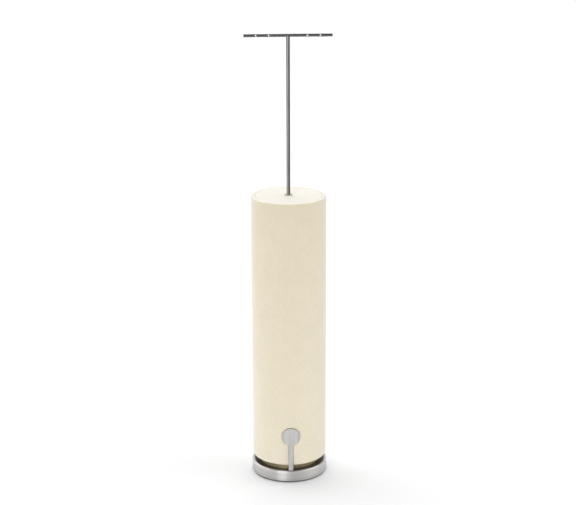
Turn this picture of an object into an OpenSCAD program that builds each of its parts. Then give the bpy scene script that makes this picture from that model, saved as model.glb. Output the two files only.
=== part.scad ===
// Earring display stand: a covered column on a steel dish base, with a lift-out T-bar on top.
// Millimetres, +Z up, origin at the centre of the foot, front (the side with the ornament) at -Y.

/* [Column] */
// Outside diameter of the covered column
column_d = 60; // [52:0.5:75]
// Height of the covered column
column_h = 219; // [160:1:300]
// Thickness of the leatherette covering
wrap_t = 0.5; // [0.3:0.1:0.8]
// Wall of the rigid tube under the covering
tube_wall = 1.9; // [1.6:0.1:3]
// Chamfer along the tube's outer edges, under the covering
tube_chamfer = 0.5; // [0.2:0.1:0.8]
// How far the covering is turned in at each end of the tube
flap_h = 12; // [8:1:20]
// Rounding of the column's upper outer edge
column_edge_r = 1; // [0.6:0.1:1.2]
// Rounding of the column's lower outer edge
lower_edge_r = 1.6; // [0.8:0.1:1.8]
// Rounding of the covering where it turns into the tube
flap_edge_r = 0.4; // [0.3:0.1:0.8]
// Width of the butt seam at the back of the covering
seam_w = 0.4; // [0.2:0.1:0.8]
// Depth of the butt seam
seam_depth = 0.3; // [0.1:0.05:0.4]
// Thickness of the plug that closes the tube's lower end
bottom_plug_t = 30; // [20:1:50]

/* [Top disc] */
// How far the inset top disc lies below the column's rim
top_recess = 0; // [0:0.1:1.5]
// Thickness of the board inside the top disc
board_t = 2.5; // [1.5:0.1:6]
// How far the top disc's covering is turned under the board
under_flap = 8; // [4:1:14]
// Gap between the top disc and the column's turned-in covering
disc_gap = 0.35; // [0.1:0.05:0.5]
// Thickness of the plug under the top disc
top_plug_t = 30; // [20:1:50]

/* [Base] */
// Thickness of the foot pad
pad_t = 1; // [0.5:0.1:3]
// How far the foot pad is set back from the dish's edge
pad_inset = 0.8; // [0.3:0.1:3]
// How far the dish stands out past the column
base_overhang = 0.6; // [0.2:0.1:6]
// Height of the steel dish
base_h = 9.1; // [7.5:0.1:20]
// Wall of the steel dish
base_wall = 2.1; // [2:0.1:3.5]
// Floor of the steel dish
base_floor = 2.5; // [2.3:0.1:4]
// Rounding along the dish's rim
rim_r = 0.8; // [0.2:0.05:0.95]
// Chamfer around the dish's lower edge
foot_chamfer = 0.5; // [0.2:0.1:1]
// How far the ballast disc lies below the dish's rim
ballast_recess = 0.3; // [0:0.1:1.5]
// Clear height of the shadow gap between the rim and the column
gap_h = 4.9; // [3.8:0.1:12]
// Diameter of the spacer that carries the column over the gap
spacer_d = 46; // [42:0.5:50]
// How far the spacer's lower lip stands out
lip_w = 0.8; // [0.3:0.1:1.5]
// Height of the spacer's lower lip
lip_h = 1.3; // [0.5:0.1:2.5]

/* [Front ornament] */
// Width of the stem
stem_w = 4; // [3:0.1:6]
// Thickness of the steel strip
strip_t = 1; // [0.8:0.05:1.1]
// Air between the strip and the covering
strip_air = 0.1; // [0.05:0.05:0.5]
// Diameter of the disc at the stem's top
disc_d = 15; // [8:0.5:22]
// Height of the disc's centre above the column's lower edge
disc_rise = 25; // [16:0.5:60]
// Length of the foot, from the stem to the centre of its eye
foot_len = 11.5; // [11:0.5:13.5]
// Diameter of the eye at the end of the foot
eye_d = 7; // [6:0.5:9]
// Outer radius of the bend between the stem and the foot
bend_r = 1.3; // [1.2:0.1:2.4]

/* [Screws] */
// Diameter of the base screws
screw_d = 4; // [3:0.5:5]
// Length of the base screws
screw_len = 24; // [18:1:34]
// Head diameter of the base screws
screw_head_d = 7.6; // [6.5:0.1:9]
// Head height of the base screws
screw_head_h = 2.2; // [1.6:0.1:2.3]
// Width across flats of the base screws' hexagon sockets
screw_socket_w = 2.5; // [1.5:0.1:3]
// Diameter of the circle on which the base screws stand
screw_circle_d = 30; // [24:0.5:34]
// Number of base screws
screw_count = 3; // [3:1:3]
// Outside diameter of the threaded inserts
insert_d = 6.2; // [5.6:0.1:8]
// Length of the threaded inserts
insert_len = 12; // [6:0.5:18]
// Diameter of the ornament's screw
small_screw_d = 3; // [2:0.1:3.5]
// Head diameter of the ornament's screw
small_head_d = 5.5; // [4.5:0.1:6]
// Head height of the ornament's screw
small_head_h = 1.6; // [1:0.1:2]
// How far the ornament's screw goes into the spacer above the foot
small_screw_bite = 2; // [1.2:0.1:2.1]

/* [Swivel socket] */
// Depth to which the mast stands in its socket
mast_depth = 60; // [40:1:100]
// Wall of the swivel sleeve
sleeve_wall = 0.7; // [0.6:0.05:1.2]
// Wall of the fixed socket tube around the sleeve
socket_wall = 0.7; // [0.5:0.05:1.5]
// Diameter of the sleeve's flange
flange_d = 6.4; // [6.2:0.1:12]
// Thickness of the sleeve's flange
flange_t = 0.8; // [0.4:0.1:2]
// Length of the plug on which the mast stands
stop_h = 4.6; // [3:0.1:8]
// Thickness of the retaining clip
clip_t = 0.6; // [0.4:0.1:0.8]
// Depth of the clip's groove in the sleeve
clip_groove = 0.35; // [0.2:0.05:0.45]
// Outside diameter of the retaining clip
clip_d = 7; // [6:0.1:10]
// Angle of the retaining clip's mouth
clip_mouth = 70; // [40:1:120]
// Sleeve left below the clip
clip_tail = 1.2; // [0.8:0.1:2]

/* [T-bar] */
// Diameter of the mast
mast_d = 2.9; // [2.4:0.1:4]
// Height of the crossbar's axis above the column's rim
bar_rise = 126.7; // [80:0.1:250]
// Diameter of the crossbar
bar_d = 2.4; // [2:0.1:2.8]
// Length of the crossbar
bar_len = 69; // [62:0.5:120]
// Diameter of the holes for earring posts
post_hole_d = 1.3; // [0.9:0.05:1.5]
// Distance between the inner pair of holes
inner_pair = 30; // [16:0.5:40]
// Distance between the outer pair of holes
outer_pair = 50; // [44:0.5:58]
// Chamfer on the crossbar's ends and the mast's foot
bar_chamfer = 0.2; // [0.1:0.05:0.4]
// Diameter of the mast's spigot in the crossbar
spigot_d = 1.2; // [0.8:0.1:1.4]
// How far the spigot goes above the crossbar's axis
spigot_h = 0.6; // [0.2:0.1:0.7]

/* [Fits] */
// Radial clearance of the mast in its sleeve
mast_fit = 0.04; // [0.02:0.01:0.08]
// Radial clearance of the sleeve in the socket tube
sleeve_fit = 0.05; // [0.02:0.01:0.08]
// Gap around pieces that are pushed or laid in place
push_fit = 0.1; // [0.05:0.05:0.3]
// Radial gap around screws
screw_fit = 0.05; // [0.02:0.01:0.2]
// End play of the swivel sleeve
end_play = 0.2; // [0.1:0.05:0.5]

/* [Hidden] */
$fn = 96;
ARC_STEPS = 8;
EPS = 1;
// Heights
base_z0 = pad_t;
floor_z = base_z0 + base_floor;
rim_z = base_z0 + base_h;
ballast_z1 = rim_z - ballast_recess;
col_z0 = rim_z + gap_h;
col_z1 = col_z0 + column_h;
cover_z1 = col_z1 - top_recess;
board_z1 = cover_z1 - wrap_t;
board_z0 = board_z1 - board_t;
top_plug_z1 = board_z0 - wrap_t;
stop_z = cover_z1 - mast_depth;
sleeve_z0 = stop_z - stop_h;
clip_z = sleeve_z0 + clip_tail;
socket_z0 = clip_z + clip_t + end_play;
bar_z = col_z1 + bar_rise;
disc_z = col_z0 + disc_rise;
// Radii
col_r = column_d / 2;
tube_r = col_r - wrap_t;
tube_bore_r = tube_r - tube_wall;
mouth_r = tube_bore_r - wrap_t;
plug_r = mouth_r - push_fit;
base_r = col_r + base_overhang;
well_r = base_r - base_wall;
ballast_r = well_r - push_fit;
mast_r = mast_d / 2;
sleeve_bore_r = mast_r + mast_fit;
sleeve_r = sleeve_bore_r + sleeve_wall;
socket_bore_r = sleeve_r + sleeve_fit;
socket_r = socket_bore_r + socket_wall;
cover_r = mouth_r - disc_gap;
// Ornament: the strip's outer face, the foot on the dish's rim, its eye, and the tip of its screw
strip_r = col_r + strip_air + strip_t;
foot_z = rim_z;
eye_r = strip_r - strip_t - foot_len;
small_tip_z = foot_z + strip_t + small_screw_bite;
strip_angle = 30;

// Points of an arc about c from angle a0 to angle a1
function arc(c, r, a0, a1) =
    [for (i = [0:ARC_STEPS]) let (a = a0 + (a1 - a0) * i / ARC_STEPS)
        [c[0] + r * cos(a), c[1] + r * sin(a)]];

// A ring with square edges
module ring(r_in, r_out, z0, z1) {
    translate([0, 0, z0]) difference() {
        cylinder(r = r_out, h = z1 - z0);
        translate([0, 0, -EPS]) cylinder(r = r_in, h = z1 - z0 + 2 * EPS);
    }
}

// A vertical hole
module hole(r, z0, z1) {
    translate([0, 0, z0]) cylinder(r = r, h = z1 - z0);
}

// The places of the base screws, one of them at the back
module at_screws() {
    for (i = [0:screw_count - 1])
        rotate([0, 0, 90 + 360 * i / screw_count]) translate([screw_circle_d / 2, 0, 0]) children();
}

// The place of the eye at the end of the ornament's foot
module at_eye() {
    translate([0, -eye_r, 0]) children();
}

module foot_pad() {
    color([0.11, 0.11, 0.11]) translate([0, 0, 0]) cylinder(r = base_r - pad_inset, h = pad_t);
}

// The turned dish: floor, wall and rounded rim, with the screws' countersinks in its floor
module base_dish() {
    profile = concat(
        [[0, base_z0], [base_r - foot_chamfer, base_z0], [base_r, base_z0 + foot_chamfer]],
        arc([base_r - rim_r, rim_z - rim_r], rim_r, 0, 90),
        arc([well_r + rim_r, rim_z - rim_r], rim_r, 90, 180),
        [[well_r, floor_z], [0, floor_z]]);
    color([0.74, 0.74, 0.75]) difference() {
        rotate_extrude() polygon(profile);
        at_screws() {
            hole(screw_d / 2 + screw_fit, base_z0 - EPS, floor_z + EPS);
            translate([0, 0, base_z0]) cylinder(r1 = screw_head_d / 2 + screw_fit,
                                                r2 = screw_d / 2 + screw_fit, h = screw_head_h);
        }
        at_eye() hole(small_head_d / 2 + push_fit, base_z0 - EPS, floor_z + EPS);
    }
}

// The weight in the dish
module ballast_disc() {
    color([0.13, 0.13, 0.13]) difference() {
        hole(ballast_r, floor_z, ballast_z1);
        at_screws() hole(screw_d / 2 + screw_fit, floor_z - EPS, ballast_z1 + EPS);
        at_eye() hole(small_screw_d / 2 + screw_fit, floor_z - EPS, ballast_z1 + EPS);
    }
}

// The stepped disc in the shadow gap, with a pocket for the ornament's foot in its underside
module spacer_disc() {
    r = spacer_d / 2;
    slot_w = stem_w + 2 * push_fit;
    roof_z = foot_z + strip_t;
    color([0.58, 0.51, 0.34]) difference() {
        union() {
            hole(r + lip_w, ballast_z1, ballast_z1 + lip_h);
            hole(r, ballast_z1, col_z0);
        }
        at_screws() hole(screw_d / 2 + screw_fit, ballast_z1 - EPS, col_z0 + EPS);
        translate([-slot_w / 2, -r - lip_w - EPS, ballast_z1 - EPS])
            cube([slot_w, r + lip_w + EPS - eye_r, roof_z - ballast_z1 + EPS]);
        translate([-slot_w / 2, -r - lip_w - EPS, ballast_z1 - EPS])
            cube([slot_w, lip_w + EPS, lip_h + 2 * EPS]);
        at_eye() hole(eye_d / 2 + push_fit, ballast_z1 - EPS, roof_z);
        at_eye() hole(small_screw_d / 2 + screw_fit, ballast_z1, small_tip_z + push_fit);
    }
}

module base_screws() {
    color([0.6, 0.6, 0.62]) at_screws() difference() {
        union() {
            hole(screw_d / 2, base_z0, base_z0 + screw_len);
            translate([0, 0, base_z0]) cylinder(d1 = screw_head_d, d2 = screw_d, h = screw_head_h);
        }
        translate([0, 0, base_z0 - EPS])
            cylinder(d = screw_socket_w / cos(30), h = EPS + screw_head_h * 0.7, $fn = 6);
    }
}

module base_inserts() {
    color([0.78, 0.62, 0.3]) at_screws()
        ring(screw_d / 2 + screw_fit, insert_d / 2, col_z0, col_z0 + insert_len);
}

module bottom_plug() {
    reach = max(insert_len, base_z0 + screw_len - col_z0);
    color([0.76, 0.63, 0.45]) difference() {
        hole(plug_r, col_z0, col_z0 + bottom_plug_t);
        at_screws() {
            hole(insert_d / 2, col_z0 - EPS, col_z0 + insert_len);
            hole(screw_d / 2 + screw_fit, col_z0, col_z0 + reach + push_fit);
        }
    }
}

// The tube's section from its lower inner edge round its outside to its upper inner edge
function tube_outline() = [
    [tube_bore_r, col_z0 + wrap_t], [tube_r - tube_chamfer, col_z0 + wrap_t],
    [tube_r, col_z0 + wrap_t + tube_chamfer], [tube_r, col_z1 - wrap_t - tube_chamfer],
    [tube_r - tube_chamfer, col_z1 - wrap_t], [tube_bore_r, col_z1 - wrap_t]];

module core_tube() {
    color([0.7, 0.66, 0.6]) rotate_extrude() polygon(tube_outline());
}

// The covering: a sleeve turned in over both ends of the tube, with its seam at the back
module column_wrap() {
    profile = concat(
        [[mouth_r, col_z1 - flap_h]],
        arc([mouth_r + flap_edge_r, col_z1 - flap_edge_r], flap_edge_r, 180, 90),
        arc([col_r - column_edge_r, col_z1 - column_edge_r], column_edge_r, 90, 0),
        arc([col_r - lower_edge_r, col_z0 + lower_edge_r], lower_edge_r, 0, -90),
        arc([mouth_r + flap_edge_r, col_z0 + flap_edge_r], flap_edge_r, 270, 180),
        [[mouth_r, col_z0 + flap_h], [tube_bore_r, col_z0 + flap_h]],
        tube_outline(),
        [[tube_bore_r, col_z1 - flap_h]]);
    color([0.93, 0.89, 0.8]) difference() {
        rotate_extrude() polygon(profile);
        translate([-seam_w / 2, col_r - seam_depth, col_z0 - EPS])
            cube([seam_w, seam_depth + EPS, column_h + 2 * EPS]);
    }
}

module top_plug() {
    color([0.76, 0.63, 0.45]) ring(socket_r, plug_r, top_plug_z1 - top_plug_t, top_plug_z1);
}

module top_board() {
    color([0.8, 0.76, 0.68]) ring(socket_r + push_fit, cover_r - wrap_t, board_z0, board_z1);
}

// The covering of the top disc, turned down round the board and under it
module top_cover() {
    edge = [cover_r - flap_edge_r, cover_z1 - flap_edge_r];
    flap_r = cover_r - wrap_t - under_flap;
    profile = concat(
        [[socket_r + push_fit, board_z1], [socket_r + push_fit, cover_z1]],
        arc(edge, flap_edge_r, 90, 0),
        [[cover_r, top_plug_z1], [flap_r, top_plug_z1], [flap_r, board_z0],
         [cover_r - wrap_t, board_z0], [cover_r - wrap_t, board_z1]]);
    color([0.97, 0.95, 0.91]) rotate_extrude() polygon(profile);
}

// The ornament's strip, cut along the dish's radius: foot, bend and stem
function strip_profile() = concat(
    [[eye_r, foot_z]],
    arc([strip_r - bend_r, foot_z + bend_r], bend_r, -90, 0),
    [[strip_r, disc_z], [strip_r - strip_t, disc_z]],
    arc([strip_r - bend_r, foot_z + bend_r], bend_r - strip_t, 0, -90),
    [[eye_r, foot_z + strip_t]]);

module front_ornament() {
    color([0.78, 0.78, 0.79]) difference() {
        union() {
            intersection() {
                rotate([0, 0, -90 - strip_angle / 2]) rotate_extrude(angle = strip_angle)
                    polygon(strip_profile());
                translate([-stem_w / 2, -strip_r - EPS, 0])
                    cube([stem_w, strip_r + EPS, disc_z + EPS]);
            }
            intersection() {
                ring(strip_r - strip_t, strip_r, disc_z - disc_d, disc_z + disc_d);
                translate([0, 0, disc_z]) rotate([90, 0, 0]) cylinder(d = disc_d, h = strip_r + EPS);
            }
            at_eye() hole(eye_d / 2, foot_z, foot_z + strip_t);
        }
        at_eye() hole(small_screw_d / 2 + screw_fit, foot_z - EPS, foot_z + strip_t + EPS);
    }
}

module ornament_screw() {
    color([0.6, 0.6, 0.62]) at_eye() difference() {
        union() {
            hole(small_head_d / 2, floor_z - small_head_h, floor_z);
            hole(small_screw_d / 2, floor_z - small_head_h, small_tip_z);
        }
        hole(small_screw_d / 3, floor_z - small_head_h - EPS, floor_z - small_head_h * 0.35, $fn = 6);
    }
}

module socket_tube() {
    color([0.7, 0.7, 0.71]) ring(socket_bore_r, socket_r, socket_z0, cover_z1);
}

// The flanged sleeve that turns in the socket tube and holds the mast
module swivel_sleeve() {
    color([0.72, 0.72, 0.73]) difference() {
        union() {
            hole(sleeve_r, sleeve_z0, cover_z1 + flange_t);
            hole(flange_d / 2, cover_z1, cover_z1 + flange_t);
        }
        hole(sleeve_bore_r, sleeve_z0 - EPS, cover_z1 + flange_t + EPS);
        ring(sleeve_r - clip_groove, sleeve_r + EPS, clip_z, clip_z + clip_t);
    }
}

module stop_plug() {
    color([0.6, 0.6, 0.62]) hole(sleeve_bore_r, sleeve_z0, stop_z);
}

// The clip under the socket tube that keeps the sleeve in
module retaining_clip() {
    mouth = clip_d * tan(clip_mouth / 2);
    color([0.4, 0.4, 0.42]) difference() {
        ring(sleeve_r - clip_groove, clip_d / 2, clip_z, clip_z + clip_t);
        translate([0, 0, clip_z - EPS]) linear_extrude(clip_t + 2 * EPS)
            polygon([[0, 0], [clip_d, -mouth], [clip_d, mouth]]);
    }
}

// The mast: chamfered foot, straight rod and a coped top with a spigot
module mast_rod() {
    foot = [[0, stop_z], [mast_r - bar_chamfer, stop_z], [mast_r, stop_z + bar_chamfer],
            [mast_r, bar_z - spigot_h / 2], [0, bar_z - spigot_h / 2]];
    color([0.62, 0.62, 0.62]) union() {
        difference() {
            rotate_extrude() polygon(foot);
            translate([-mast_d, 0, bar_z]) rotate([0, 90, 0]) cylinder(d = bar_d, h = 2 * mast_d);
        }
        hole(spigot_d / 2, bar_z - bar_d, bar_z + spigot_h);
    }
}

// The crossbar, with a blind hole for the spigot and two pairs of holes for earring posts
module crossbar() {
    half = bar_len / 2;
    r = bar_d / 2;
    section = [[0, -half], [r - bar_chamfer, -half], [r, -half + bar_chamfer],
               [r, half - bar_chamfer], [r - bar_chamfer, half], [0, half]];
    color([0.45, 0.45, 0.45]) difference() {
        translate([0, 0, bar_z]) rotate([0, 90, 0]) rotate_extrude() polygon(section);
        for (pair = [inner_pair, outer_pair], side = [-1, 1])
            translate([side * pair / 2, bar_d, bar_z]) rotate([90, 0, 0])
                cylinder(d = post_hole_d, h = 2 * bar_d);
        hole(spigot_d / 2, bar_z - bar_d, bar_z + spigot_h);
    }
}

foot_pad();
base_dish();
ballast_disc();
spacer_disc();
base_screws();
base_inserts();
bottom_plug();
core_tube();
column_wrap();
top_plug();
top_board();
top_cover();
front_ornament();
ornament_screw();
socket_tube();
swivel_sleeve();
stop_plug();
retaining_clip();
mast_rod();
crossbar();
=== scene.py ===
import math
import bmesh
import bpy
from mathutils import Matrix, Vector


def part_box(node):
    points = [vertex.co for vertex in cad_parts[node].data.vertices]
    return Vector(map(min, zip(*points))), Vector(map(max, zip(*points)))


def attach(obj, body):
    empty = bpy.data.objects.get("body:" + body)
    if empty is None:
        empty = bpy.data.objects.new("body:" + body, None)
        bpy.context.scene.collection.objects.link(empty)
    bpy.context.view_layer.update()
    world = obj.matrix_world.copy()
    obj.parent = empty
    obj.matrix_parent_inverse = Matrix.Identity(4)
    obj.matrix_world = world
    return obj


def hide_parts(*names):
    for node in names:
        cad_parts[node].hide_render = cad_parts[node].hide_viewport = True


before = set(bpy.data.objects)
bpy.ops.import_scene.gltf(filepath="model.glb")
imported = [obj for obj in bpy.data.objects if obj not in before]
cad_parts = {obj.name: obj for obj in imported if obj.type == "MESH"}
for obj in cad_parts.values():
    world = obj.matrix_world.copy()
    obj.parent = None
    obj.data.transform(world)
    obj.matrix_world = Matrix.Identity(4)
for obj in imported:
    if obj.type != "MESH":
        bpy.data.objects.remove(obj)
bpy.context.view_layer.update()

MM = 0.001
WHITE = (1.0, 1.0, 1.0, 1.0)


# A node's lowest and highest corner, in millimetres, to a hundredth
def box_mm(node):
    return [[round(value / MM, 2) for value in corner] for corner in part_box(node)]


# The column and its covering, in millimetres as all sizes of pieces here
column_low, column_high = box_mm("column_wrap")
COLUMN_R = column_high[0]
COLUMN_Z0 = column_low[2]
COLUMN_Z1 = column_high[2]
COVERING_T = 0.5
TUBE_WALL = 1.9
TUBE_CHAMFER = 0.5
FLAP_H = 12.0
UPPER_EDGE_R = 1.0
LOWER_EDGE_R = 1.6
FLAP_EDGE_R = 0.4
SEAM_W = 0.4
SEAM_DEPTH = 0.3
# How far the covering's turned edge swells towards the top disc, and how high that swelling is
LIP = 0.27
LIP_H = 1.4
# How far the hand-wrapped covering strays from a true cylinder, and how far from each end that is reached
UNEVENNESS = 0.03
UNEVEN_FROM = 12
# Its waves: the share of each, how often it comes round, its turn for each millimetre up, and its start
WAVES = [(0.5, 3, 0.021, 0.0), (0.3, 5, -0.037, 1.1), (0.2, 2, 0.064, 2.3)]

# The ornament: a strip with an eye on its foot and a disc on its stem
ornament_low, ornament_high = box_mm("front_ornament")
STRIP_T = 1.0
STEM_W = 4.0
BEND_R = 1.3
EYE_D = 7.0
EYE_HOLE_D = 3.1
STRIP_R = -ornament_low[1]
EYE_R = EYE_D / 2 - ornament_high[1]
FOOT_Z = ornament_low[2]
DISC_D = 2 * ornament_high[0]
DISC_Z = ornament_high[2] - DISC_D / 2


# A colour is written as it looks, on the scale from 0 to 255, and is turned into linear values here
def shade(red, green, blue):
    def linear(value):
        share = value / 255
        return share / 12.92 if share <= 0.04045 else ((share + 0.055) / 1.055) ** 2.4
    return (linear(red), linear(green), linear(blue), 1.0)


# Shader graphs
def add(tree, kind, inputs=None, **settings):
    made = tree.nodes.new(kind)
    for key, value in settings.items():
        setattr(made, key, value)
    for key, value in (inputs or {}).items():
        socket = made.inputs[key]
        if isinstance(value, bpy.types.NodeSocket):
            tree.links.new(value, socket)
        else:
            socket.default_value = value
    return made


def math_node(tree, operation, first, second=0.0):
    return add(tree, "ShaderNodeMath", {0: first, 1: second}, operation=operation).outputs[0]


# The sum of some values, each times its weight
def weighted(tree, *pairs):
    total, *others = [math_node(tree, "MULTIPLY", value, weight) for value, weight in pairs]
    for other in others:
        total = math_node(tree, "ADD", total, other)
    return total


# A value's way from low to high, turned into a way from to_low to to_high
def ramp(tree, value, low, high, to_low=0.0, to_high=1.0, smooth=True):
    kind = "SMOOTHSTEP" if smooth else "LINEAR"
    inputs = {"Value": value, "From Min": low, "From Max": high, "To Min": to_low, "To Max": to_high}
    return add(tree, "ShaderNodeMapRange", inputs, interpolation_type=kind).outputs["Result"]


# The same for a value in metres, with low and high in millimetres
def ramp_mm(tree, value, low, high, to_low=0.0, to_high=1.0, smooth=True):
    return ramp(tree, value, low * MM, high * MM, to_low, to_high, smooth)


# Sockets 6 and 7 of a Mix node are its two colours, and output 2 is the blend
def blend_colours(tree, factor, first, second):
    inputs = {0: factor, 6: first, 7: second}
    return add(tree, "ShaderNodeMix", inputs, data_type="RGBA").outputs[2]


def dimmed(tree, colour, tone):
    inputs = {0: colour, "Scale": tone}
    return add(tree, "ShaderNodeVectorMath", inputs, operation="SCALE").outputs[0]


def noise(tree, vector, scale, detail=2.0, roughness=0.5):
    inputs = {"Vector": vector, "Scale": scale, "Detail": detail, "Roughness": roughness}
    return add(tree, "ShaderNodeTexNoise", inputs).outputs["Fac"]


def stretched(tree, vector, scales):
    return add(tree, "ShaderNodeMapping", {"Vector": vector, "Scale": scales}).outputs["Vector"]


# A place's X, Y and Z
def axes_of(tree, place):
    return add(tree, "ShaderNodeSeparateXYZ", {"Vector": place}).outputs


# How far a place lies from the Z axis
def radius_at(tree, x, y):
    squares = [math_node(tree, "MULTIPLY", value, value) for value in (x, y)]
    return math_node(tree, "SQRT", math_node(tree, "ADD", *squares))


# 1 for a ray that sees the surface straight, in a mirror or through glass, and 0 for the others
def seen_by_ray(tree):
    rays = add(tree, "ShaderNodeLightPath").outputs
    seen = math_node(tree, "MAXIMUM", rays["Is Camera Ray"], rays["Is Glossy Ray"])
    return math_node(tree, "MAXIMUM", seen, rays["Is Transmission Ray"])


def new_material(name):
    made = bpy.data.materials.new(name)
    made.use_nodes = True
    tree = made.node_tree
    tree.nodes.clear()
    shader = add(tree, "ShaderNodeBsdfPrincipled")
    add(tree, "ShaderNodeOutputMaterial", {"Surface": shader.outputs["BSDF"]})
    place = add(tree, "ShaderNodeTexCoord").outputs["Object"]
    return made, tree, shader, place


def link_look(tree, shader, colour, roughness):
    tree.links.new(colour, shader.inputs["Base Color"])
    tree.links.new(roughness, shader.inputs["Roughness"])


# A roughness that follows a pattern, where the pattern goes from low to high
def rough_with(tree, pattern, low, high, roughness, spread):
    return ramp(tree, pattern, low, high, *[roughness + step for step in spread])


# Relief from a height of 0 to 1; the distance between them is in millimetres
def bump(tree, shader, height, distance, strength):
    inputs = {"Height": height, "Distance": distance * MM, "Strength": strength}
    made = add(tree, "ShaderNodeBump", inputs)
    tree.links.new(made.outputs["Normal"], shader.inputs["Normal"])


def set_all(shader, **values):
    for key, value in values.items():
        shader.inputs[key.replace("_", " ")].default_value = value


# A metal's highlights are stretched along the Z axis by the first turn, and round it by the second
ALONG_AXIS = 0.25
ROUND_AXIS = 0.0


def brush(tree, shader, anisotropy, turn):
    set_all(shader, Metallic=1.0, Anisotropic=anisotropy, Anisotropic_Rotation=turn)
    tangent = add(tree, "ShaderNodeTangent", direction_type="RADIAL", axis="Z").outputs["Tangent"]
    tree.links.new(tangent, shader.inputs["Tangent"])


# Patterns, in repeats to a metre
PEBBLES = 1050
PEBBLE_WARP = 900
PORES = 5200
MOTTLING = 48
FINE_LINES = 5200
WIDE_LINES = 900
SMEARS = 90
# How much a brushed line is drawn out, on a plain piece and on the rod
LINE_STRETCH = 0.012
ROD_STRETCH = 0.01
# Between which values of a pattern a piece's colour goes from dark to light
LINES_SPAN = (0.36, 0.66)
REFLECTION_STRIPE_SPAN = (-0.5, 0.96)
SPECKLE_SPAN = (0.34, 0.68)
# How far a piece's roughness goes down and up from its own value
METAL_SPREAD = (-0.05, 0.06)
DULL_SPREAD = (-0.06, 0.06)
# A speckled piece's broad clouds, as a share of the fine speckle's scale
CLOUD_SHARE = 0.09

# Painted shade: the leatherette's darker colour down in the groove round the top disc
SEAM_SHADE_COLOUR = shade(172, 157, 122)
# Within this radius and below this height the leatherette lies in the groove; both have a soft edge
GROOVE_R = (COLUMN_R - 2.6, COLUMN_R - 2.2)
GROOVE_Z = (COLUMN_Z1 - 0.4, COLUMN_Z1 - 0.06)
# The rims with painted light lie within this radius, above this height, or below the last one: the top rim
# and flap are paler where light falls on the top, and the lower rim has a painted highlight
RIM_R = (COLUMN_R - 0.8, COLUMN_R - 0.4)
RIM_Z = (COLUMN_Z1 - 0.75, COLUMN_Z1 - 0.35)
LOWER_RIM_Z = (COLUMN_Z0 + 0.5, COLUMN_Z0 + 1.5)
# How strong the lower rim's painted highlight is, where the upper rim's painted light is 1
LOWER_HIGHLIGHT_SHARE = 0.7
# The heights between which the covering's colour changes: painted light, paler low down and darker towards
# the top
PAINTED_LIGHT_HEIGHTS = (COLUMN_Z0 + 15, COLUMN_Z1 - 6)
# The leatherette's relief in millimetres, its roughness, and its tones: from mottled to clear, and from the
# valleys between the grains, darkened with painted shade, to their tops
PEBBLE_DEPTH = 0.05
PEBBLE_ROUGHNESS = (0.44, 0.58)
SHEEN_ROUGHNESS = 0.45
MOTTLED_TONE = 0.965
VALLEY_SHADE_TONE = 0.95


# Pebbled leatherette: rounded grains about a millimetre wide, finer pores and a faint mottling.
# Its colour goes from low to high up the piece as painted light, its turned rims are paler with painted
# light, and its groove and grain valleys are darker with painted shade.
def leatherette(name, low, high, sheen, rim=None):
    made, tree, shader, place = new_material(name)
    x, y, z = axes_of(tree, place)
    radius = radius_at(tree, x, y)
    inputs = {"Vector": place, "Scale": PEBBLES, "Randomness": 0.9, "Smoothness": 0.35}
    cells = add(tree, "ShaderNodeTexVoronoi", inputs, feature="SMOOTH_F1").outputs["Distance"]
    grain = ramp(tree, cells, 0.1, 0.75, 1.0, 0.0)
    pores = noise(tree, place, PORES, 3, 0.6)
    warp = noise(tree, place, PEBBLE_WARP, 2)
    relief = weighted(tree, (grain, 1.0), (pores, 0.35), (warp, 0.4))
    bump(tree, shader, relief, PEBBLE_DEPTH, 0.55)
    # Painted light: paler low down and darker towards the top
    colour = blend_colours(tree, ramp_mm(tree, z, *PAINTED_LIGHT_HEIGHTS, smooth=False), low, high)
    # Painted light on the top rim and flap, paler where light falls on the top, and a painted highlight on
    # the lower rim
    if rim is not None:
        inside = ramp_mm(tree, radius, *RIM_R, 1.0, 0.0)
        on_top = ramp_mm(tree, z, *RIM_Z)
        under = ramp_mm(tree, z, *LOWER_RIM_Z, LOWER_HIGHLIGHT_SHARE, 0.0)
        pale = math_node(tree, "MAXIMUM", math_node(tree, "MAXIMUM", inside, on_top), under)
        colour = blend_colours(tree, pale, colour, rim)
    # Painted shade down in the groove round the top disc
    outside, above = ramp_mm(tree, radius, *GROOVE_R), ramp_mm(tree, z, *GROOVE_Z)
    in_light = math_node(tree, "MAXIMUM", outside, above)
    colour = blend_colours(tree, in_light, SEAM_SHADE_COLOUR, colour)
    mottling = ramp(tree, noise(tree, place, MOTTLING, 4, 0.62), 0.3, 0.72, MOTTLED_TONE, 1.0)
    # Painted shade in the valleys between the grains
    valley_shade = ramp(tree, grain, 0.0, 0.35, VALLEY_SHADE_TONE, 1.0)
    colour = dimmed(tree, colour, math_node(tree, "MULTIPLY", mottling, valley_shade))
    link_look(tree, shader, colour, ramp(tree, pores, 0.2, 0.8, *PEBBLE_ROUGHNESS))
    set_all(shader, Sheen_Weight=sheen, Sheen_Roughness=SHEEN_ROUGHNESS)
    return made


# How much darker a metal piece is at its foot, painted shade for the shadow there: a first tone, and slopes
# that add to it. Each slope has the heights where it starts and ends, what it adds, and whether it is smooth.
DISH_Z0 = box_mm("base_dish")[0][2]
DISH_PAINTED_SHADE = (0.7, [(DISH_Z0, DISH_Z0 + 1.8, 0.16, True), (DISH_Z0 + 1.2, DISH_Z0 + 7.5, 0.14, False)])
STEM_PAINTED_SHADE = (0.4, [(FOOT_Z + 0.2, FOOT_Z + 1.8, 0.6, True)])


def painted_foot_shade(tree, z, foot):
    tone, slopes = foot
    for start, end, gain, smooth in slopes:
        tone = math_node(tree, "ADD", tone, ramp_mm(tree, z, start, end, 0.0, gain, smooth))
    return tone


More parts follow.
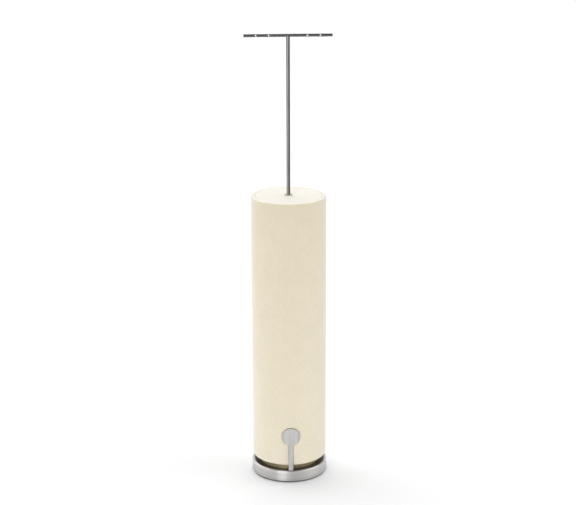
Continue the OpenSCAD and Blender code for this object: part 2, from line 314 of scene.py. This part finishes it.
# Brushed steel: the lines run round the axis, or up the piece where upright is set
def brushed(name, light, dark, roughness, anisotropy=0.0, upright=False, depth=0.004, foot=None):
    made, tree, shader, place = new_material(name)
    x, y, z = axes_of(tree, place)
    if upright:
        lines_at = stretched(tree, place, (1.0, 1.0, LINE_STRETCH))
    else:
        inputs = {"X": math_node(tree, "MULTIPLY", x, LINE_STRETCH),
                  "Y": math_node(tree, "MULTIPLY", y, LINE_STRETCH),
                  "Z": math_node(tree, "ADD", z, radius_at(tree, x, y))}
        lines_at = add(tree, "ShaderNodeCombineXYZ", inputs).outputs[0]
    lines = noise(tree, lines_at, FINE_LINES, 3, 0.7)
    both = weighted(tree, (lines, 0.6), (noise(tree, lines_at, WIDE_LINES), 0.4))
    smears = noise(tree, place, SMEARS, 3, 0.55)
    colour = blend_colours(tree, ramp(tree, both, *LINES_SPAN), dark, light)
    # Painted shade: darker towards the foot
    if foot:
        colour = dimmed(tree, colour, painted_foot_shade(tree, z, foot))
    spread = weighted(tree, (both, 0.6), (smears, 0.4))
    link_look(tree, shader, colour, rough_with(tree, spread, 0.3, 0.7, roughness, METAL_SPREAD))
    bump(tree, shader, lines, depth, 0.6)
    brush(tree, shader, anisotropy, ROUND_AXIS if upright else ALONG_AXIS)
    return made


# The mast's painted reflections, pale and dark bands: how many there are round it, the angle in degrees from
# +X of one of the pale ones, its painted highlight, at the mast's foot and at its top, those two heights, and
# how far the bands' phase wanders, in radians
PAINTED_REFLECTION_COUNT = 4
PAINTED_HIGHLIGHT_ANGLES = (-116, -103)
PAINTED_REFLECTION_Z = (COLUMN_Z1 + 1, COLUMN_Z1 + 127)
WANDER = 0.35
WANDER_SCALE = 14
ROD_DEPTH = 0.002


# A polished rod with painted reflections: pale bands of painted highlight and dark bands of painted shade run
# up it and wander slowly, with fine brushed lines between them
def rod_with_painted_reflection(name, light, dark, roughness, anisotropy):
    made, tree, shader, place = new_material(name)
    x, y, z = axes_of(tree, place)
    angle = math_node(tree, "ARCTAN2", y, x)
    up_the_rod = noise(tree, stretched(tree, place, (0.0, 0.0, 1.0)), WANDER_SCALE, 1)
    wander = ramp(tree, up_the_rod, 0.25, 0.75, -WANDER, WANDER, smooth=False)
    turned = math_node(tree, "ADD", math_node(tree, "MULTIPLY", angle, PAINTED_REFLECTION_COUNT), wander)
    highlight_angles = [math.radians(angle_at * PAINTED_REFLECTION_COUNT) for angle_at in PAINTED_HIGHLIGHT_ANGLES]
    highlight_at = ramp_mm(tree, z, *PAINTED_REFLECTION_Z, *highlight_angles, smooth=False)
    # Painted reflections: pale bands are a painted highlight, dark ones painted shade
    reflection_stripes = math_node(tree, "COSINE", math_node(tree, "SUBTRACT", turned, highlight_at))
    lines = noise(tree, stretched(tree, place, (1.0, 1.0, ROD_STRETCH)), FINE_LINES, 3, 0.7)
    both = weighted(tree, (reflection_stripes, 1.0), (lines, 0.45))
    colour = blend_colours(tree, ramp(tree, both, *REFLECTION_STRIPE_SPAN), dark, light)
    link_look(tree, shader, colour, rough_with(tree, lines, 0.3, 0.7, roughness, METAL_SPREAD))
    bump(tree, shader, lines, ROD_DEPTH, 0.6)
    brush(tree, shader, anisotropy, ALONG_AXIS)
    return made


# A dull surface with a fine speckle: rubber, painted iron, board and the like
def speckled(name, light, dark, roughness, scale, depth, metallic=0.0):
    made, tree, shader, place = new_material(name)
    fine = noise(tree, place, scale, 3, 0.6)
    broad = noise(tree, place, scale * CLOUD_SHARE, 3)
    both = weighted(tree, (fine, 0.55), (broad, 0.45))
    colour = blend_colours(tree, ramp(tree, both, *SPECKLE_SPAN), dark, light)
    link_look(tree, shader, colour, rough_with(tree, fine, 0.25, 0.75, roughness, DULL_SPREAD))
    bump(tree, shader, fine, depth, 0.7)
    set_all(shader, Metallic=metallic)
    return made


# The finish of each node: for a metal its light and its dark colour, and its roughness
# The cream's low and high colours are painted light, paler low down and darker towards the top; its rim
# colour is painted light on the rims
CREAM_LIT_LOW, CREAM_SHADED_HIGH, CREAM_LIT_RIM = shade(235, 225, 201), shade(224, 213, 187), shade(239, 233, 216)
# The top disc is the same cream made paler: painted light, for the brighter light on the top
TOP_DISC_LIT_COLOUR = shade(244, 239, 227)
cream = leatherette("cream_leatherette", CREAM_LIT_LOW, CREAM_SHADED_HIGH, 0.6, CREAM_LIT_RIM)
# Darker, rougher steel on the ornament's cut edges, made dark enough to be painted shade along the strip's
# outline
edge_shade = speckled("cut_edge_steel", shade(150, 150, 151), shade(122, 122, 123), 0.5, 1500, 0.02, 1.0)
finishes = {
    "foot_pad": speckled("rubber", shade(104, 103, 102), shade(84, 84, 84), 0.7, 1800, 0.03),
    "base_dish": brushed("brushed_steel", shade(212, 210, 208), shade(194, 192, 190), 0.34, 0.95,
                         foot=DISH_PAINTED_SHADE),
    # Black iron, made near black also to stand in for the shade in the gap under the column
    "ballast_disc": speckled("black_iron", shade(56, 54, 50), shade(38, 36, 33), 0.3, 2600, 0.01),
    "spacer_disc": brushed("champagne_metal", shade(198, 184, 148), shade(172, 159, 124), 0.5, 0.3),
    "base_screws": brushed("screw_steel", shade(190, 190, 194), shade(150, 150, 154), 0.3),
    "base_inserts": brushed("insert_brass", shade(214, 186, 116), shade(178, 150, 88), 0.32),
    "bottom_plug": speckled("fibreboard", shade(188, 164, 128), shade(160, 134, 98), 0.85, 1500, 0.08),
    "core_tube": speckled("tube_board", shade(196, 186, 168), shade(172, 160, 140), 0.85, 1300, 0.05),
    "column_wrap": cream,
    "top_cover": leatherette("top_leatherette", TOP_DISC_LIT_COLOUR, TOP_DISC_LIT_COLOUR, 0.1),
    "front_ornament": brushed("upright_steel", shade(211, 209, 207), shade(185, 183, 181), 0.3, 0.5,
                              upright=True, foot=STEM_PAINTED_SHADE),
    "socket_tube": brushed("turned_steel", shade(186, 186, 190), shade(150, 150, 154), 0.3),
    "swivel_sleeve": brushed("polished_sleeve", shade(206, 204, 201), shade(182, 180, 177), 0.22),
    # The mast's light and dark colours are its painted highlight and its painted shade
    "mast_rod": rod_with_painted_reflection("mast_painted_reflection", shade(170, 168, 165), shade(42, 41, 39), 0.42, 0.95),
    # The crossbar's steel is far darker than the other steel: painted shade for the dark reflections along it
    "crossbar": brushed("polished_bar", shade(114, 112, 110), shade(90, 88, 86), 0.22, depth=0.002),
}
SAME_FINISH_AS = {"top_plug": "bottom_plug", "top_board": "bottom_plug", "ornament_screw": "base_screws",
                  "stop_plug": "socket_tube", "retaining_clip": "socket_tube"}
for name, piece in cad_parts.items():
    piece.data.materials.clear()
    piece.data.materials.append(finishes[SAME_FINISH_AS.get(name, name)])


# Geometry helpers; everything here is in millimetres until it becomes a mesh
def arc(centre, radius, start, end, steps):
    turn = [math.radians(start + (end - start) * i / steps) for i in range(steps + 1)]
    return [(centre[0] + radius * math.cos(t), centre[1] + radius * math.sin(t)) for t in turn]


# A closed outline with its long stretches cut into shorter ones
def divided(points, longest):
    result = []
    for index, (r0, z0) in enumerate(points):
        r1, z1 = points[(index + 1) % len(points)]
        count = max(1, math.ceil(math.hypot(r1 - r0, z1 - z0) / longest))
        result += [(r0 + (r1 - r0) * k / count, z0 + (z1 - z0) * k / count) for k in range(count)]
    return result


def make_piece(name, points, faces, finishes_used, body, slot, *nodes):
    mesh = bpy.data.meshes.new(name)
    mesh.from_pydata([tuple(value * MM for value in point) for point in points], [], faces)
    shape = bmesh.new()
    shape.from_mesh(mesh)
    bmesh.ops.recalc_face_normals(shape, faces=shape.faces)
    shape.to_mesh(mesh)
    shape.free()
    mesh.polygons.foreach_set("use_smooth", [True] * len(mesh.polygons))
    for finish in finishes_used:
        mesh.materials.append(finish)
    made = bpy.data.objects.new(name, mesh)
    bpy.context.scene.collection.objects.link(made)
    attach(made, body)
    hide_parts(*nodes)
    return made


# The longest step along the covering's section, and the step round it away from the seam, in degrees
SECTION_STEP = 4.0
ROUND_STEP = 2.0
# The close steps on one side of the seam, in degrees from it, and where the even ones start
NEAR_SEAM = [0.2, 0.35, 0.5, 0.7, 0.9, 1.2, 1.6, 2.4]
EVEN_FROM = 4.0
SEAM_ANGLE = 90
# The seam's groove is level up to this share of its width, and then rises over this other share
SEAM_LEVEL = 0.3
SEAM_RISE = 0.8
# The steps in the covering's turned edges, its upper rim and its lower rim
FLAP_STEPS = 7
UPPER_STEPS = 10
LOWER_STEPS = 12


# The covering of the column, turned in at both ends, with its butt seam at the back
def covering_profile():
    tube_r = COLUMN_R - COVERING_T
    bore_r = tube_r - TUBE_WALL
    mouth_r = bore_r - COVERING_T
    lip_r = mouth_r - LIP
    low, high = COLUMN_Z0, COLUMN_Z1
    profile = [(mouth_r, high - FLAP_H), (mouth_r, high - LIP_H), (lip_r, high - LIP_H / 2)]
    profile += arc((lip_r + FLAP_EDGE_R, high - FLAP_EDGE_R), FLAP_EDGE_R, 180, 90, FLAP_STEPS)
    profile += arc((COLUMN_R - UPPER_EDGE_R, high - UPPER_EDGE_R), UPPER_EDGE_R, 90, 0, UPPER_STEPS)
    profile += arc((COLUMN_R - LOWER_EDGE_R, low + LOWER_EDGE_R), LOWER_EDGE_R, 0, -90, LOWER_STEPS)
    profile += arc((mouth_r + FLAP_EDGE_R, low + FLAP_EDGE_R), FLAP_EDGE_R, 270, 180, FLAP_STEPS)
    profile += [(mouth_r, low + FLAP_H), (bore_r, low + FLAP_H), (bore_r, low + COVERING_T)]
    profile += [(tube_r - TUBE_CHAMFER, low + COVERING_T), (tube_r, low + COVERING_T + TUBE_CHAMFER)]
    profile += [(tube_r, high - COVERING_T - TUBE_CHAMFER), (tube_r - TUBE_CHAMFER, high - COVERING_T)]
    profile += [(bore_r, high - COVERING_T), (bore_r, high - FLAP_H)]
    return divided(profile, SECTION_STEP)


def covering_angles():
    near = [-away for away in reversed(NEAR_SEAM)] + [0.0] + NEAR_SEAM
    count = int((360 - 2 * EVEN_FROM) / ROUND_STEP) + 1
    even = [EVEN_FROM + ROUND_STEP * i for i in range(count)]
    return [SEAM_ANGLE + away for away in near + even]


# How far the covering's outside lies from a true cylinder: the seam's groove and the slow waves
def covering_offset(angle, z):
    away = abs((angle - SEAM_ANGLE + 180) % 360 - 180) * math.radians(1) * COLUMN_R
    edge = min(1.0, max(0.0, (away - SEAM_W * SEAM_LEVEL) / (SEAM_W * SEAM_RISE)))
    groove = -SEAM_DEPTH * (1 - edge * edge * (3 - 2 * edge))
    t = math.radians(angle)
    wave = sum(share * math.sin(round_it * t + z * up + start) for share, round_it, up, start in WAVES)
    ends = min(1.0, (z - COLUMN_Z0) / UNEVEN_FROM, (COLUMN_Z1 - z) / UNEVEN_FROM)
    return groove + UNEVENNESS * wave * max(0.0, ends)


def column_covering():
    profile = covering_profile()
    angles = covering_angles()
    outer_from = COLUMN_R - 0.9 * COVERING_T
    points, faces = [], []
    for angle in angles:
        t = math.radians(angle)
        for r, z in profile:
            if r > outer_from:
                r += covering_offset(angle, z)
            points.append((r * math.cos(t), r * math.sin(t), z))
    count = len(profile)
    for i in range(len(angles)):
        j = (i + 1) % len(angles)
        for k in range(count):
            n = (k + 1) % count
            faces.append((i * count + k, j * count + k, j * count + n, i * count + n))
    return make_piece("column_covering", points, faces, [cream], "stand", "cream_leatherette", "column_wrap")


column_covering()

# The ornament is cut flat, as in the workshop, its edges are broken, and it is bent: foot, bend, stem.
# Lengths along it start at the eye's centre.
BEND_FROM = STRIP_R - BEND_R - EYE_R
BEND_TO = BEND_FROM + BEND_R * math.pi / 2
DISC_AT = BEND_TO + DISC_Z - FOOT_Z - BEND_R
EDGE_BREAK = 0.25
# The blank is cut across before it is bent: the steps along it, in the bend, and from side to side
CUT_STEP = 0.5
BEND_CUT_STEP = 0.15
BEND_CUTS = 15
SIDE_CUT_STEP = 1.0
# A corner this close to a cut is taken as lying on it
CUT_SNAP = 0.02
# A face whose normal rises less than this is part of the strip's edge
EDGE_RISE = 0.97
# The steps round the eye, the disc and the eye's hole, on one side, and those of a broken edge
EYE_STEPS = 20
DISC_STEPS = 45
HOLE_STEPS = 12
BREAK_STEPS = 3


# The strip's outer point and its way inwards, in radius and height, at a length along the strip
def strip_at(s):
    if s < BEND_FROM:
        return (EYE_R + s, FOOT_Z), (0.0, 1.0)
    if s < BEND_TO:
        t = (s - BEND_FROM) / BEND_R - math.pi / 2
        way = (-math.cos(t), -math.sin(t))
        return (STRIP_R - BEND_R - BEND_R * way[0], FOOT_Z + BEND_R - BEND_R * way[1]), way
    return (STRIP_R, FOOT_Z + BEND_R + s - BEND_TO), (-1.0, 0.0)


# The bent strip's point for one of the blank: u to the side, s along it and t through it
def bent(u, s, t):
    (r, z), way = strip_at(s)
    r, z = r + way[0] * t, z + way[1] * t
    wrap = min(1.0, max(0.0, (s - BEND_FROM) / (BEND_TO - BEND_FROM)))
    return u, -math.sqrt(r * r - wrap * u * u), z


# The right half of the flat blank: the eye's side, the stem, the disc's side, and back round the eye's hole
def half_blank():
    eye, disc = EYE_D / 2, DISC_D / 2
    eye_angle = math.degrees(math.asin(STEM_W / 2 / eye))
    disc_angle = math.degrees(math.asin(STEM_W / 2 / disc))
    outline = arc((0, 0), eye, -90, 90 - eye_angle, EYE_STEPS)
    outline += arc((0, DISC_AT), disc, disc_angle - 90, 90, DISC_STEPS)
    return outline + arc((0, 0), EYE_HOLE_D / 2, 90, -90, HOLE_STEPS)


# Whether an edge lies between a flat face of the blank and its side
def is_corner(edge):
    rises = [abs(face.normal.z) for face in edge.link_faces]
    return min(rises) < 0.5 < max(rises)


def blank_cuts():
    first, last = 1 - int(EYE_D / 2 / CUT_STEP), int((DISC_AT + DISC_D) / CUT_STEP)
    along = [s * CUT_STEP for s in range(first, last + 1)]
    along += [BEND_FROM + BEND_CUT_STEP * i for i in range(BEND_CUTS)]
    reach = int(DISC_D / 2 / SIDE_CUT_STEP)
    aside = [u * SIDE_CUT_STEP for u in range(-reach, reach + 1)]
    cuts = [(Vector((0, s, 0)), Vector((0, 1, 0))) for s in along]
    return cuts + [(Vector((u, 0, 0)), Vector((1, 0, 0))) for u in aside]


# The flat blank with its broken edges, cut finely enough to bend
def flat_blank():
    shape = bmesh.new()
    for side in (1, -1):
        shape.faces.new([shape.verts.new((u * side, s, 0.0)) for u, s in half_blank()][::side])
    bmesh.ops.remove_doubles(shape, verts=shape.verts, dist=1e-6)
    lifted = bmesh.ops.extrude_face_region(shape, geom=shape.faces[:])["geom"]
    upper = [item for item in lifted if isinstance(item, bmesh.types.BMVert)]
    bmesh.ops.translate(shape, vec=(0, 0, STRIP_T), verts=upper)
    bmesh.ops.recalc_face_normals(shape, faces=shape.faces)
    shape.normal_update()
    corners = [edge for edge in shape.edges if is_corner(edge)]
    settings = {"offset": EDGE_BREAK, "segments": BREAK_STEPS, "profile": 0.5, "affect": "EDGES"}
    bmesh.ops.bevel(shape, geom=corners, **settings)
    for place, normal in blank_cuts():
        everything = shape.verts[:] + shape.edges[:] + shape.faces[:]
        bmesh.ops.bisect_plane(shape, geom=everything, plane_co=place, plane_no=normal, dist=CUT_SNAP)
    shape.normal_update()
    shape.verts.index_update()
    return shape


def front_strip():
    shape = flat_blank()
    points = [bent(*v.co) for v in shape.verts]
    faces = [tuple(v.index for v in face.verts) for face in shape.faces]
    # The edge faces take the darker steel, painted shade along the strip's outline
    on_edge = [int(abs(face.normal.z) < EDGE_RISE) for face in shape.faces]
    shape.free()
    used = [finishes["front_ornament"], edge_shade]
    made = make_piece("front_strip", points, faces, used, "stand", "brushed_steel", "front_ornament")
    made.data.polygons.foreach_set("material_index", on_edge)
    made.modifiers.new("even_normals", "WEIGHTED_NORMAL")
    return made


front_strip()

# The floor's half width in metres, its colour, and its own light for rays that see it
FLOOR_HALF = 9.0
FLOOR_COLOUR = (0.892, 0.896, 0.908, 1.0)
FLOOR_GLOW = 0.06


def floor_paper():
    paper = bpy.data.materials.new("floor_paper")
    paper.use_nodes = True
    tree = paper.node_tree
    tree.nodes.clear()
    matt = add(tree, "ShaderNodeBsdfDiffuse", {"Color": FLOOR_COLOUR})
    strength = math_node(tree, "MULTIPLY", seen_by_ray(tree), FLOOR_GLOW)
    glow = add(tree, "ShaderNodeEmission", {"Strength": strength})
    both = add(tree, "ShaderNodeAddShader", {0: matt.outputs[0], 1: glow.outputs[0]})
    add(tree, "ShaderNodeOutputMaterial", {"Surface": both.outputs[0]})
    return paper


def make_floor():
    corners = [(-1, -1), (1, -1), (1, 1), (-1, 1)]
    mesh = bpy.data.meshes.new("floor")
    mesh.from_pydata([(x * FLOOR_HALF, y * FLOOR_HALF, 0.0) for x, y in corners], [], [(0, 1, 2, 3)])
    mesh.materials.append(floor_paper())
    floor = bpy.data.objects.new("floor", mesh)
    bpy.context.scene.collection.objects.link(floor)


make_floor()

# The studio: a pale band round the horizon, a dark ceiling, four wide soft boxes and one upright strip.
# The band has a little more light for rays that see it.
HORIZON = 0.65
HORIZON_GLOW = 0.35
CEILING = 0.05
# Heights in the studio are those of a ray's way, from 0 at the horizon to 1 overhead
BAND_END = (0.42, 0.55)
STRIP_START = (0.0, 0.06)
STRIP_END = (0.58, 0.74)
STRIP_AZIMUTH = -24
STRIP_HALF = 0.25
STRIP_SOFT = 0.04
STRIP_LEVEL = 2.8
# Each soft box: azimuth and elevation, half its width, the softness of its edge, and its level
SOFT_BOXES = [(-105, 36, 30, 8, 0.88), (75, 36, 28, 8, 1.16), (-160, 58, 28, 8, 1.85), (120, 58, 26, 8, 0.81)]


# The direction of a place in the studio; azimuth 0 is the camera's side and 90 is the right
def direction(azimuth, elevation):
    a, e = math.radians(azimuth), math.radians(elevation)
    return Vector((math.sin(a) * math.cos(e), -math.cos(a) * math.cos(e), math.sin(e)))


# How far a ray's way goes along a direction, from -1 to 1
def along(tree, way, towards):
    return add(tree, "ShaderNodeVectorMath", {0: way, 1: towards}, operation="DOT_PRODUCT").outputs["Value"]


# A round soft box: its level inside, and nothing outside
def soft_box(tree, way, azimuth, elevation, half, soft, level):
    outer, inner = math.cos(math.radians(half + soft)), math.cos(math.radians(half - soft))
    return ramp(tree, along(tree, way, direction(azimuth, elevation)), outer, inner, 0.0, level)


# The upright strip, on the camera's side alone, from the horizon up
def strip_light(tree, way, height):
    beside = math_node(tree, "ABSOLUTE", along(tree, way, direction(STRIP_AZIMUTH + 90, 0)))
    level = ramp(tree, beside, STRIP_HALF - STRIP_SOFT, STRIP_HALF + STRIP_SOFT, STRIP_LEVEL, 0.0)
    in_front = ramp(tree, along(tree, way, direction(STRIP_AZIMUTH, 0)), 0.0, 0.1)
    for share in (in_front, ramp(tree, height, *STRIP_START), ramp(tree, height, *STRIP_END, 1.0, 0.0)):
        level = math_node(tree, "MULTIPLY", level, share)
    return level


def make_studio():
    world = bpy.data.worlds.new("studio")
    bpy.context.scene.world = world
    world.use_nodes = True
    tree = world.node_tree
    tree.nodes.clear()
    way = add(tree, "ShaderNodeTexCoord").outputs["Generated"]
    height = axes_of(tree, way)["Z"]
    level = math_node(tree, "MULTIPLY", seen_by_ray(tree), HORIZON_GLOW)
    level = math_node(tree, "ADD", level, HORIZON - CEILING)
    level = math_node(tree, "MULTIPLY", level, ramp(tree, height, *BAND_END, 1.0, 0.0))
    level = math_node(tree, "ADD", level, CEILING)
    lights = [soft_box(tree, way, *box) for box in SOFT_BOXES] + [strip_light(tree, way, height)]
    for light in lights:
        level = math_node(tree, "ADD", level, light)
    background = add(tree, "ShaderNodeBackground", {"Color": WHITE, "Strength": level})
    add(tree, "ShaderNodeOutputWorld", {"Surface": background.outputs[0]})


make_studio()

# The camera, fitted to the photograph's outlines, in millimetres for the lens and metres for its place
LENS = 96.76
SENSOR = 36.0
FAR = 60.0
DISTANCE = 1.19365
HEIGHT = 0.52728
YAW = math.radians(2.45)
PITCH = math.radians(15.93)
PAN = math.radians(0.0278)
ROLL = math.radians(-0.19)


def make_camera():
    data = bpy.data.cameras.new("camera")
    data.lens = LENS
    data.sensor_width = SENSOR
    data.sensor_fit = "HORIZONTAL"
    data.clip_end = FAR
    camera = bpy.data.objects.new("camera", data)
    bpy.context.scene.collection.objects.link(camera)
    heading = Matrix.Rotation(PAN - YAW, 4, "Z")
    tilt = Matrix.Rotation(math.pi / 2 - PITCH, 4, "X")
    lean = Matrix.Rotation(ROLL, 4, "Z")
    stand_at = Vector((-DISTANCE * math.sin(YAW), -DISTANCE * math.cos(YAW), HEIGHT))
    camera.matrix_world = Matrix.Translation(stand_at) @ heading @ tilt @ lean
    return camera


bpy.context.scene.camera = make_camera()
bpy.context.scene.view_settings.view_transform = "Standard"
